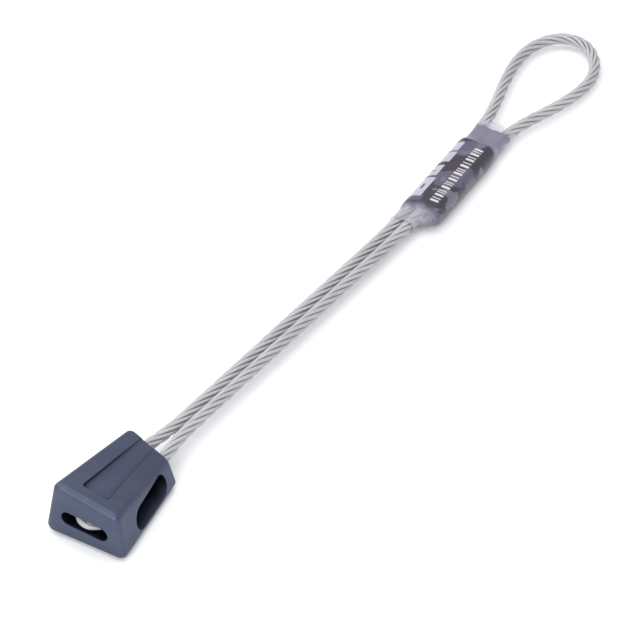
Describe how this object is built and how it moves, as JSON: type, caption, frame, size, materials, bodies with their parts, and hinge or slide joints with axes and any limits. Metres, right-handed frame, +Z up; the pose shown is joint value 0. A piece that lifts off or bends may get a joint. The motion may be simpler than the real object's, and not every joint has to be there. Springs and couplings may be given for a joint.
{
  "type": "wired climbing nut",
  "caption": "Large offset climbing nut: tapered alloy head on a steel wire rope sling, with a swaged ferrule, a printed label under clear film and a teardrop clip-in loop.",
  "frame": {"origin": "middle of the whole nut in plan, on the surface that it lies on", "axes": "+Z up out of that surface, which the head's flat back face lies on; +Y along the wire rope, from the alloy head to the clip-in loop; +X to the head's thin side, across the two legs"},
  "size_m": [0.0301, 0.272, 0.0178],
  "materials": {
    "anodised_alloy": "satin blue-grey anodised",
    "steel_rope": "galvanised wire rope",
    "ferrule_metal": "as swaged",
    "label_film": "printed film",
    "clear_film": "clear shrink film"
  },
  "bodies": {
    "sling": {"wire_rope": "steel_rope", "swage_ferrule": "ferrule_metal", "printed_label": "label_film", "clear_sleeve": "clear_film"},
    "head": {"chock_head": "anodised_alloy"}
  },
  "joints": [
    {"name": "head_slide", "type": "slide", "parent": "sling", "child": "head", "axis": [-0.0593, 0.9981, -0.0167], "range_m": [0, 0.02]}
  ]
}
